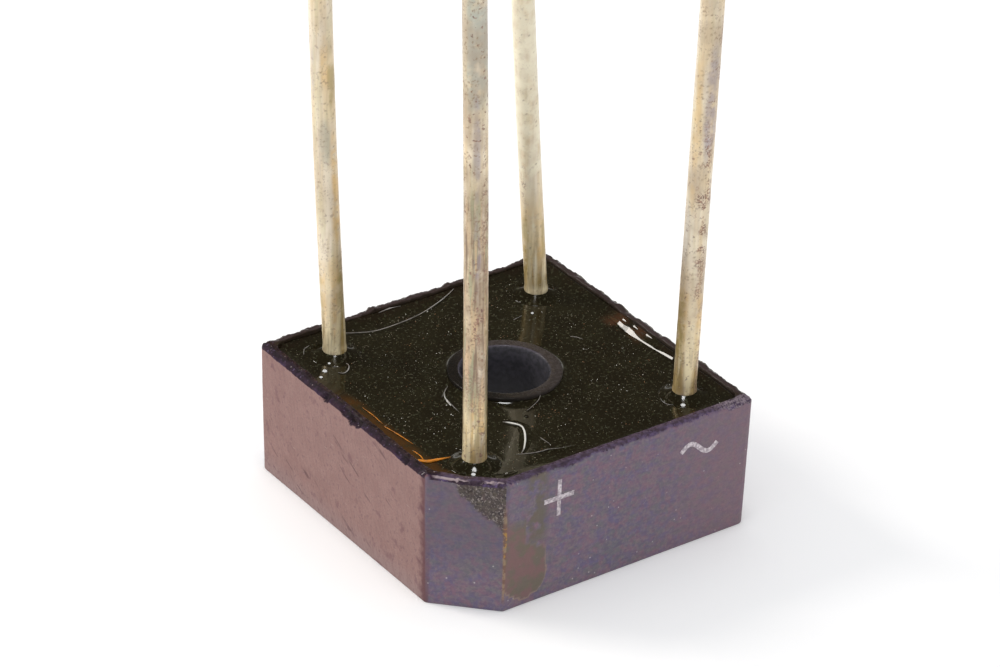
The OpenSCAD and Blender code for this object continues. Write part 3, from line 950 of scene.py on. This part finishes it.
# thin streaks: a noise stretched along one way
def makeStreakGroup():
    group, given, outside = newGroup(
        "ShaderNodeTree", "Streaks",
        [("Vector", "Vector"), ("Stretch", "Vector", (1, 1, 1)), ("Turn", "Vector", (0, 0, 0)),
         ("Low", "Float", 0.5), ("High", "Float", 0.6)], [("Mask", "Float")])
    turned = addField(group, "ShaderNodeMapping", {"Vector": given["Vector"], "Rotation": given["Turn"]})
    cloud = addNoise(group, turned.vector("MULTIPLY", given["Stretch"]), 1.0, 3.0)
    fillInputs(outside, {"Mask": cloud.ramp(given["Low"], given["High"])})
    return group


blotchGroup, speckGroup, streakGroup = makeBlotchGroup(), makeSpeckGroup(), makeStreakGroup()


# materials

def newMaterial(name):
    material = bpy.data.materials.new(name)
    material.use_nodes = True
    return material, material.node_tree, material.node_tree.nodes["Principled BSDF"]


def mixColours(tree, factor, a, b):
    return addField(tree, "ShaderNodeMix", {0: factor, 6: a, 7: b}, 2, data_type="RGBA")


# a material with the masks and tones that its maker needs; places are in millimetres on the piece
class Paint:
    def __init__(self, name):
        self.material, self.tree, self.shader = newMaterial(name)
        place = addField(self.tree, "ShaderNodeTexCoord", output="Object")
        self.place = place.vector("SCALE", scale=1 / mm)

    def group(self, group, **inputs):
        node = self.tree.nodes.new("ShaderNodeGroup")
        node.node_tree = group
        fillInputs(node, inputs)
        return [Field(socket) for socket in node.outputs]

    def blotches(self, scale, low, high, detail=4.0):
        return self.group(blotchGroup, Vector=self.place, Scale=scale, Low=low, High=high, Detail=detail)[0]

    def streaks(self, stretch, low, high, turn=(0, 0, 0)):
        return self.group(streakGroup, Vector=self.place, Stretch=stretch, Turn=turn, Low=low, High=high)[0]

    # the mask of the specks, and their tone
    def specks(self, scale, share, size, place=None):
        return self.group(speckGroup, Vector=place or self.place, Scale=scale, Share=share, Size=size)

    def read(self, name):
        return addField(self.tree, "ShaderNodeAttribute", output="Fac", attribute_name=name)

    def mix(self, factor, a, b):
        return mixColours(self.tree, factor, a, b)

    # lays tones over a colour one after the other; each is a mask, a strength and a tone
    def lay(self, colour, *tones):
        for mask, strength, tone in tones:
            colour = self.mix(mask * strength, colour, tone)
        return colour

    def finish(self, inputs):
        fillInputs(self.shader, inputs)
        return self.material


def makeCupMaterial():
    paint = Paint("MouldedCup")
    mix, lay, read, blotches, streaks = paint.mix, paint.lay, paint.read, paint.blotches, paint.streaks
    half = caseHalf / mm
    x, y, z = paint.place.axes()
    fine, finest = blotches(5.0, 0.35, 0.65), blotches(14.0, 0.3, 0.7, 2.0)
    # the left side is rubbed matt and pinkish, and painted lighter than the other sides: painted light where
    # the key lamp falls on it
    grain = streaks((9, 9, 1.6), 0.42, 0.68, (0.3, 0, 0))
    scratch = streaks((1, 0.45, 4.2), 0.63, 0.72, (-0.5, 0, 0)) * blotches(0.7, 0.44, 0.56)
    scratch = scratch.max(streaks((1, 0.8, 7.5), 0.73, 0.77, (-0.78, 0, 0)))
    rubbedWithPaintedLight = lay(
        mix(blotches(0.9, 0.4, 0.62), (0.345, 0.212, 0.192), (0.312, 0.187, 0.171)),
        (fine, 0.4, (0.34, 0.235, 0.21)), (finest, 0.4, (0.24, 0.137, 0.13)),
        (z.ramp(1.3, 0.0), 0.45, (0.33, 0.26, 0.26)), (grain, 0.22, (0.2, 0.115, 0.105)),
        (blotches(1.5, 0.6, 0.7, 6.0), 0.5, (0.17, 0.085, 0.1)),
        (blotches(5.0, 0.57, 0.68, 6.0), 0.42, (0.18, 0.085, 0.1)), (scratch, 0.6, (0.1, 0.05, 0.06)),
        # a dark maroon band along the left side's edge with the chamfer: painted shade where the rounded
        # corner turns from the light
        ((y + blotches(2.5, 0.3, 0.7) * 0.25).ramp(-4.55, -4.95), 0.8, (0.12, 0.05, 0.06)))
    # the other sides keep their skin, mottled blue, green and pink, and are painted darker than the left
    # side: painted shade where they turn from the key lamp
    skinWithPaintedShade = lay(
        mix(blotches(0.5, 0.42, 0.6), (0.228, 0.155, 0.198), (0.188, 0.15, 0.206)),
        (blotches(1.6, 0.42, 0.6, 6.0), 0.75, (0.15, 0.13, 0.235)),
        (streaks((1.3, 1.3, 3), 0.42, 0.66), 0.7, (0.165, 0.168, 0.163)),
        (blotches(2.8, 0.48, 0.62, 6.0), 0.7, (0.255, 0.142, 0.185)),
        (streaks((3.5, 3.5, 9), 0.42, 0.7, (0, 0, 0.4)), 0.5, (0.115, 0.09, 0.16)),
        (blotches(7.5, 0.48, 0.62, 3.0), 0.4, (0.27, 0.22, 0.22)),
        (x.ramp(1.0, 7.5), 0.6, (0.255, 0.16, 0.18)), (finest, 0.25, (0.13, 0.105, 0.14)),
        ((x + y).ramp(-12.6, -12.75) * z.ramp(1.0, 3.5), 0.4, (0.115, 0.095, 0.12)))
    leftSide = x.ramp(-7.38, -7.46) * (x + y).ramp(-12.8, -12.68)
    # pale specks pressed in and fine pale scratches
    speckLevel = paint.specks(3.6, 0.22, 0.22)[0] * (0.9 - leftSide * 0.65)
    colour = mix(speckLevel, mix(leftSide, skinWithPaintedShade, rubbedWithPaintedLight), (0.62, 0.57, 0.55))
    colour = lay(colour, (streaks((0.9, 0.9, 12), 0.72, 0.75, (0, 0.9, 0)), 0.4, (0.45, 0.36, 0.32)))
    # resin that ran over the outside: a thin spot, the tongue with its pale edge, the grit and the seam
    grit, run, seam, olive = read("grit"), read("run"), read("seam"), blotches(1.6, 0.42, 0.58)
    spot = abs(x + 3.65).ramp(0.75, 0.25) * (y.ramp(-7.3, -7.4) * z.ramp(2.4, 3.4))
    crumbs = paint.specks(8.5, 0.45, 0.5)[0]
    gritTone = lay(
        mix(olive, (0.105, 0.075, 0.07), (0.12, 0.1, 0.075)),
        (blotches(3.5, 0.45, 0.58), 0.6, (0.045, 0.036, 0.034)),
        (blotches(8.0, 0.5, 0.6, 5.0), 0.8, (0.03, 0.026, 0.025)),
        (blotches(11.0, 0.55, 0.63, 3.0), 0.8, (0.36, 0.31, 0.28)), (crumbs, 0.7, (0.5, 0.43, 0.38)),
        (blotches(1.8, 0.42, 0.6), 0.55, (0.075, 0.056, 0.046)))
    gold = mix(blotches(5.5, 0.5, 0.58) * abs(z - 3.4).ramp(1.3, 0.3),
               mix(blotches(3.2, 0.45, 0.6), (0.2, 0.11, 0.08), (0.33, 0.23, 0.15)), (0.5, 0.28, 0.06))
    colour = lay(
        colour, (spot * blotches(1.9, 0.38, 0.54, 6.0), 0.8, (0.15, 0.128, 0.09)),
        (run, 0.85, mix(olive, (0.215, 0.122, 0.11), (0.165, 0.135, 0.092))),
        (run.ramp(0.05, 0.4) * run.ramp(0.98, 0.5) * z.ramp(3.6, 1.2), 0.6, (0.33, 0.24, 0.18)),
        (grit, 0.9, gritTone), (seam, 0.8, gold))
    # rim and broken edges, wetted by resin: violet on the near sides, brown on the far ones
    fromCut = (x + y) * 0.7071 + 9.072  # distance from the chamfer's face
    inset = (x.min(y) + half).min(fromCut) + (fine - 0.5) * 0.1
    violet = mix(blotches(2.2, 0.42, 0.58), (0.11, 0.075, 0.16), (0.05, 0.03, 0.046))
    leftViolet = mix(blotches(1.6, 0.5, 0.62), (0.04, 0.017, 0.032), (0.055, 0.03, 0.07))
    violet = mix((x - y).ramp(-1.8, -2.2), violet, leftViolet)
    front = (x - y).ramp(-1.8, -1.4)
    near = mix(inset.ramp(0.08, 0.17), violet, mix(front, (0.026, 0.015, 0.02), (0.05, 0.032, 0.042)))
    near = mix(inset.ramp(0.16, 0.3), near, mix(fine, (0.07, 0.04, 0.015), (0.026, 0.016, 0.008)))
    broken = mix(front, mix(fine, (0.034, 0.018, 0.03), (0.016, 0.01, 0.016)),
                 mix(fine, (0.12, 0.085, 0.15), (0.07, 0.046, 0.075)))
    # a pale ragged line along the chamfer's top outer edge: painted highlight
    cutEdgeHighlight = fromCut.ramp(0.12, 0.085) * fromCut.ramp(0.015, 0.04) * blotches(1.7, 0.4, 0.56, 6.0)
    near = lay(
        near, (blotches(9.0, 0.45, 0.6, 2.0), 0.5, (0.016, 0.01, 0.014)), (read("chip"), 0.6, broken),
        # violet patches and pale specks on the near rim: painted highlights
        (blotches(9.0, 0.62, 0.7), 0.5, (0.16, 0.11, 0.2)),
        (paint.specks(6.0, 0.25, 0.3)[0], 0.75, (0.45, 0.38, 0.36)),
        (x.ramp(5.2, 6.4) * blotches(11.0, 0.36, 0.6, 3.0), 0.8, (0.3, 0.24, 0.27)),
        (cutEdgeHighlight * x.ramp(-7.42, -7.3), 0.9, (0.42, 0.33, 0.34)))
    farInset = half - x.max(y)
    far = mix(farInset.ramp(0.05, 0.2), (0.17, 0.15, 0.11), (0.052, 0.036, 0.036))
    far = mix(farInset.ramp(0.38, 0.48), far, (0.034, 0.024, 0.015))
    far = lay(far, (blotches(2.2, 0.4, 0.6), 0.5, (0.042, 0.028, 0.024)))
    wet = mix(x.min(y).ramp(-7.0, -7.2).max(fromCut.ramp(0.5, 0.46)), far, near)
    onCut = fromCut.ramp(0.035, 0.015)
    wetFrom = 6.17 + x.ramp(-7.3, -7.2) * 0.06 + onCut * 0.2
    soaked = (z + (fine - 0.5) * 0.22 - wetFrom).ramp(0.0, 0.08)
    top = read("rim").max(soaked).max(read("chip") * (1.0 - onCut * 0.8))
    colour = mix(top, colour, wet)
    # tube top and bore
    flat = addField(paint.tree, "ShaderNodeCombineXYZ", {"X": x, "Y": y})
    radius = addField(paint.tree, "ShaderNodeVectorMath", {0: flat}, "Value", operation="LENGTH")
    tube = lay(
        mix(x.ramp(-2.0, 1.2), (0.01, 0.008, 0.006), (0.055, 0.044, 0.04)),
        (fine, 0.4, (0.024, 0.019, 0.016)),
        # a bluish line along the bore's far inner edge: painted highlight
        (radius.ramp(2.03, 1.99) * y.ramp(-0.4, 0.6), 0.5, (0.11, 0.1, 0.14)),
        (radius.ramp(2.5, 2.56) * blotches(2.0, 0.35, 0.5), 0.5, (0.12, 0.1, 0.08)))
    bore = mix(fine, (0.07, 0.066, 0.08), (0.045, 0.044, 0.05))
    # the bore is painted lighter further down: painted light in the shade inside the hole
    bore = lay(bore, (z.ramp(5.6, 3.0), 0.8, (0.2, 0.195, 0.2)))
    colour = mix(radius.ramp(1.975, 1.93), mix(radius.ramp(2.75, 2.65), colour, tube), bore)
    dry = (x + y).ramp(-12.0, -12.3).max(inset.ramp(0.2, 0.34))
    gloss = mix(top, mix(leftSide, 0.5, 0.8), mix(dry, 0.72, 0.24))
    gloss = mix(run.max(grit), gloss, 0.36)
    height = fine * 0.35 + grain * -0.5 + scratch * -1.5 + grit * crumbs * 3.0
    bump = addField(paint.tree, "ShaderNodeBump", {"Height": height, "Strength": 0.4, "Distance": 0.012 * mm})
    return paint.finish({"Base Color": colour, "Roughness": gloss, "Specular IOR Level": 0.18,
                         "Normal": bump})


def makeResinMaterial():
    paint = Paint("CastResin")
    mix, blotches = paint.mix, paint.blotches
    x, y, z = paint.place.axes()
    edge, patch = paint.read("thinEdge"), blotches(1.1, 0.42, 0.6)
    # amber where the resin is thin at the near left wall
    deep = mix(blotches(0.8, 0.35, 0.7), (0.009, 0.0065, 0.0022), (0.013, 0.0105, 0.004))
    thin = mix(x.ramp(-4.0, -6.2) * y.ramp(3.0, 1.5),
               mix(patch, (0.022, 0.012, 0.008), (0.018, 0.015, 0.008)),
               mix(patch, (0.078, 0.031, 0.006), (0.045, 0.026, 0.008)))
    # a reddish-brown glow round the bright strip by the +X wall: painted highlight
    glow = x.ramp(6.0, 6.5) * abs(y - 0.4).ramp(1.6, 0.6)
    colour = mix(glow * patch, mix(edge * 0.85, deep, thin), (0.06, 0.026, 0.012))
    # flecks in the skin, fewer at the walls
    fleck, tone = paint.specks(5.5, 0.6, 0.42)
    clear = addField(paint.tree, "ShaderNodeMath", {0: 1.0, 1: edge * 0.8}, operation="SUBTRACT",
                     use_clamp=True)
    colour = mix(fleck * 0.7 * clear, colour, mix(tone, (0.04, 0.05, 0.018), (0.08, 0.06, 0.03)))
    colour = mix(paint.specks(9.5, 0.6, 0.5)[0] * 0.45 * clear, colour, (0.055, 0.05, 0.025))
    colour = mix(blotches(7.0, 0.56, 0.68, 3.0) * clear, colour, (0.042, 0.042, 0.024))
    return paint.finish({"Base Color": colour, "Roughness": 0.09, "IOR": 1.5})


def makeWireMaterial():
    paint = Paint("TinnedWire")
    mix, lay, read, blotches, streaks = paint.mix, paint.lay, paint.read, paint.blotches, paint.streaks
    worn, soft = read("worn"), blotches(2.0, 0.25, 0.6, 5.0)
    dull, low = read("dull"), paint.place.axes()[2].ramp(10.5, 7.0)
    # pale lays painted highlights; olive lays partly olive tarnish and partly painted shade at the wires'
    # sides and painted reflection of the dark resin near their feet
    stainsAndPaintedLight = (("dull", 0.85, (0.45, 0.33, 0.22)), ("grey", 0.85, (0.47, 0.5, 0.44)),
              ("lilac", 0.85, (0.4, 0.36, 0.44)), ("gold", 0.85, (0.88, 0.6, 0.25)),
              ("pale", 0.95, (1.0, 0.92, 0.7)), ("olive", 0.8, (0.36, 0.27, 0.07)))
    # rust in small ragged spots, thick where the stain is
    rust = read("rust") * blotches(2.6, 0.44, 0.56, 10.0) * blotches(12.0, 0.4, 0.56, 3.0)
    rust = rust.max(worn * blotches(4.5, 0.62, 0.68, 7.0))
    shaken = addNoise(paint.tree, paint.place, 9.0, 3.0, "Color").vector("SCALE", scale=0.16)
    # bright specks where the olive is: painted glints
    paintedSparkles = paint.specks(6.5, 0.22, 0.4, paint.place.vector("ADD", shaken))[0]
    freckles = blotches(9.0, 0.54, 0.66, 3.0) * blotches(1.4, 0.38, 0.62, 3.0)
    colour = lay(
        mix(streaks((2.0, 2.0, 0.25), 0.4, 0.6), (0.87, 0.71, 0.47), (0.92, 0.81, 0.63)),
        (streaks((6, 6, 0.45), 0.42, 0.66), 0.4, (0.6, 0.46, 0.27)),
        (streaks((3, 3, 0.3), 0.5, 0.68), 0.35, (0.7, 0.66, 0.42)),
        (streaks((1.3, 1.3, 0.13), 0.54, 0.66), 0.35, (0.58, 0.57, 0.58)),
        *[(read(kind) * soft, strength, tone) for kind, strength, tone in stainsAndPaintedLight],
        (worn * blotches(0.8, 0.35, 0.65, 3.0), 0.7, (0.42, 0.31, 0.21)),
        (dull * streaks((5, 5, 0.35), 0.48, 0.64), 0.75, (0.2, 0.13, 0.08)),
        (dull * streaks((4, 4, 0.25), 0.48, 0.64), 0.75, (0.42, 0.42, 0.26)),
        (dull * streaks((6, 6, 0.5), 0.48, 0.64), 0.75, (0.7, 0.5, 0.3)),
        # towards the foot: golden streaks, bright cream streaks that are painted highlights and dark streaks
        # that are painted reflection of the dark resin
        (low * streaks((2.4, 2.4, 0.22), 0.48, 0.6), 0.45, (0.6, 0.42, 0.14)),
        (low * streaks((3.3, 3.3, 0.28), 0.48, 0.6), 0.8, (1.0, 0.86, 0.55)),
        (low * streaks((5, 5, 0.4), 0.48, 0.6), 0.4, (0.28, 0.18, 0.06)),
        (rust, 0.9, mix(blotches(11.0, 0.4, 0.6, 2.0), (0.2, 0.1, 0.085), (0.46, 0.27, 0.19))),
        (freckles * worn, 0.9, (0.3, 0.2, 0.13)), (read("pit"), 0.6, (0.24, 0.13, 0.06)),
        (paintedSparkles * read("olive"), 1.0, (1, 0.97, 0.85)))
    # less metallic where the painted highlight is, so that its pale colour shows
    metal = read("pale").ramp(0.0, 1.0, 0.3, 0.1, "LINEAR")
    return paint.finish({"Base Color": colour, "Metallic": metal, "Roughness": mix(rust, 0.33, 0.6)})


def makeDustMaterial():
    paint = Paint("PaleDust")
    red, green, blue = splitColour(paint.tree, addCells(paint.tree, paint.place, 4.0)[0])
    colour = paint.mix(red, (0.1, 0.11, 0.06), (0.26, 0.22, 0.16))
    colour = paint.mix(green.ramp(0.88, 0.92), colour, (0.3, 0.14, 0.06))
    colour = paint.mix(blue.ramp(0.92, 0.95), colour, (0.85, 0.82, 0.75))
    return paint.finish({"Base Color": colour, "Roughness": 0.6})


# two tones in soft patches, and a painted highlight tone where a thread stands in for a glint
def makeMottled(name, light, dark, scale, roughness, bright=None, metallic=0.0, low=0.4, high=0.6):
    paint = Paint(name)
    colour = paint.mix(paint.blotches(scale, low, high), light, dark)
    if bright:
        colour = paint.mix(paint.read("glint").ramp(0.45, 0.9), colour, bright)
    return paint.finish({"Base Color": colour, "Metallic": metallic, "Roughness": roughness})


def dress(piece, material):
    piece.data.materials.clear()
    piece.data.materials.append(material)


# the hidden pieces, by a word in their nodes' names: material, its two tones, roughness and metallic
hiddenSettings = {
    "plate": ("SheetCopper", (0.78, 0.42, 0.26), (0.55, 0.27, 0.16), 0.35, 1.0),
    "solder": ("SoftSolder", (0.62, 0.63, 0.65), (0.45, 0.46, 0.48), 0.45, 1.0),
    "diode": ("SiliconChip", (0.16, 0.17, 0.2), (0.1, 0.105, 0.13), 0.3, 0.0),
}
for word, (name, light, dark, roughness, metallic) in hiddenSettings.items():
    material = makeMottled(name, light, dark, 2.0, roughness, None, metallic, 0.35, 0.65)
    for node in (node for name, node in frame["nodes"].items() if word in name):
        dress(node, material)
resinMaterial, wireMaterial = makeResinMaterial(), makeWireMaterial()
dress(cup, makeCupMaterial())
for piece in (pour, collars, facets):
    dress(piece, resinMaterial)
dress(threadsAndGlints, makeMottled("PaleThreadAndGlint", (0.3, 0.27, 0.25), (0.16, 0.15, 0.14), 2.5, 0.5, (0.75, 0.73, 0.68)))
dress(paintedGlints, makeMottled("AmberPaintedGlint", (0.7, 0.24, 0.015), (0.3, 0.1, 0.01), 2.0, 0.3))
dress(signs, makeMottled("WhiteInk", (0.78, 0.7, 0.73), (0.45, 0.38, 0.42), 7.0, 0.6))
pitTree, dustTree = makePitTree(wireMaterial), makeDustTree(makeDustMaterial())
for k, (name, wire) in enumerate(wires.items()):
    worn = wireSettings["worn"][name]
    applyTree(wire, pitTree, {"Depth": wireSettings["pitDepth"], "Pits per mm": wireSettings["pitsPerMm"],
                              "Worn share": worn, "Seed": 3.7 * k + 1.0})
    storeValues(wire, "worn", [worn] * len(wire.data.vertices))
dust = bpy.data.objects.new("resin_dust", pour.data.copy())
scene.collection.objects.link(dust)
applyTree(dust, dustTree, dustSettings)
print("dust:", len(dust.data.polygons), "faces")
print("materials done")

# fixing to the frame

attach(cup, "root")
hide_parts("case")
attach(pour, "root")
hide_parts("potting")
for name, wire in wires.items():
    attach(wire, "root")
    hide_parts(name)
for piece in (collars, facets, threadsAndGlints, paintedGlints, dust):
    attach(piece, "root")
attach(signs, "root")

# floor, lamps, world and camera

studioSettings = {"floorSize": 4.0, "floorColour": 0.9, "floorGlow": 0.12, "ambient": 0.76}
# lamps: direction they stand in, distance, width, power, colour
lampSettings = {
    "keyLamp": ((-0.5, 0.62, 0.6), 0.2, 0.06, 0.15, (1, 0.95, 0.88)),
    "topLamp": ((-0.03, -0.05, 1.0), 0.25, 0.05, 0.1, (1, 1, 1)),
}
cameraSettings = {
    "azimuth": -35.921, "elevation": 30.221, "roll": 1.728, "distance": 180.978 * mm,
    "aimHeight": 3.0 * mm, "aimRight": -0.123 * mm, "aimUp": 4.343 * mm, "lens": 151.78, "sensor": 36.0,
}


def makeFloor():
    half, tone = studioSettings["floorSize"], studioSettings["floorColour"]
    corners = [(-half, -half, 0), (half, -half, 0), (half, half, 0), (-half, half, 0)]
    floor = addPiece("floor", corners, [(0, 1, 2, 3)])
    material, tree, shader = newMaterial("PaleFloor")
    path = addNode(tree, "ShaderNodeLightPath").outputs
    seen = Field(path["Is Camera Ray"]).max(path["Is Glossy Ray"]).max(path["Is Transmission Ray"])
    fillInputs(shader, {"Base Color": tone, "Roughness": 0.9, "Specular IOR Level": 0.0, "Emission Color": 1,
                        "Emission Strength": seen * studioSettings["floorGlow"]})
    dress(floor, material)


def makeWorld():
    world = bpy.data.worlds.new("Studio")
    scene.world = world
    world.use_nodes = True
    tree = world.node_tree
    tree.nodes.clear()
    path = addNode(tree, "ShaderNodeLightPath").outputs
    seen = Field(path["Is Camera Ray"]).max(path["Is Transmission Ray"])
    # glossy surfaces mirror a pale backdrop up to a low height, and a dim room above it
    up = addField(tree, "ShaderNodeTexCoord", output="Generated").axes()[2]
    backdrop = up.ramp(0.16, 0.02)
    level = backdrop.ramp(0.0, 1.0, 0.085, 1.0, "LINEAR")
    room = mixColours(tree, backdrop, (1, 0.9, 0.7), (1.0, 1.0, 1.0))

    def background(colour, strength):
        return addField(tree, "ShaderNodeBackground", {"Color": colour, "Strength": strength})

    first = addField(tree, "ShaderNodeMixShader", {0: path["Is Glossy Ray"],
                                                   1: background((0.97, 0.98, 1), studioSettings["ambient"]),
                                                   2: background(room, level)})
    last = addField(tree, "ShaderNodeMixShader", {0: seen, 1: first, 2: background(1, 1.0)})
    addNode(tree, "ShaderNodeOutputWorld", {"Surface": last})


def addLamp(name, direction, distance, size, power, colour):
    data = bpy.data.lights.new(name, "AREA")
    data.shape, data.size, data.energy, data.color = "DISK", size, power, colour
    lamp = bpy.data.objects.new(name, data)
    scene.collection.objects.link(lamp)
    lamp.location = Vector(direction).normalized() * distance
    lamp.rotation_euler = (Vector((0, 0, 4 * mm)) - lamp.location).to_track_quat("-Z", "Y").to_euler()


def makeCamera():
    s = cameraSettings
    a, e, r = math.radians(s["azimuth"]), math.radians(s["elevation"]), math.radians(s["roll"])
    back = Vector((math.sin(a) * math.cos(e), -math.cos(a) * math.cos(e), math.sin(e)))
    right = Vector((math.cos(a), math.sin(a), 0))
    up = back.cross(right)
    right, up = right * math.cos(r) + up * math.sin(r), up * math.cos(r) - right * math.sin(r)
    data = bpy.data.cameras.new("Camera")
    data.lens, data.sensor_width, data.sensor_fit = s["lens"], s["sensor"], "HORIZONTAL"
    data.clip_start, data.clip_end = 0.01, 20
    camera = bpy.data.objects.new("Camera", data)
    scene.collection.objects.link(camera)
    aim = Vector((0, 0, s["aimHeight"])) + right * s["aimRight"] + up * s["aimUp"]
    camera.location = aim + back * s["distance"]
    camera.rotation_euler = Matrix((right, up, back)).transposed().to_euler()
    scene.camera = camera


makeFloor()
makeWorld()
for name, lamp in lampSettings.items():
    addLamp(name, *lamp)
makeCamera()
scene.view_settings.view_transform = "Standard"
print("studio done")
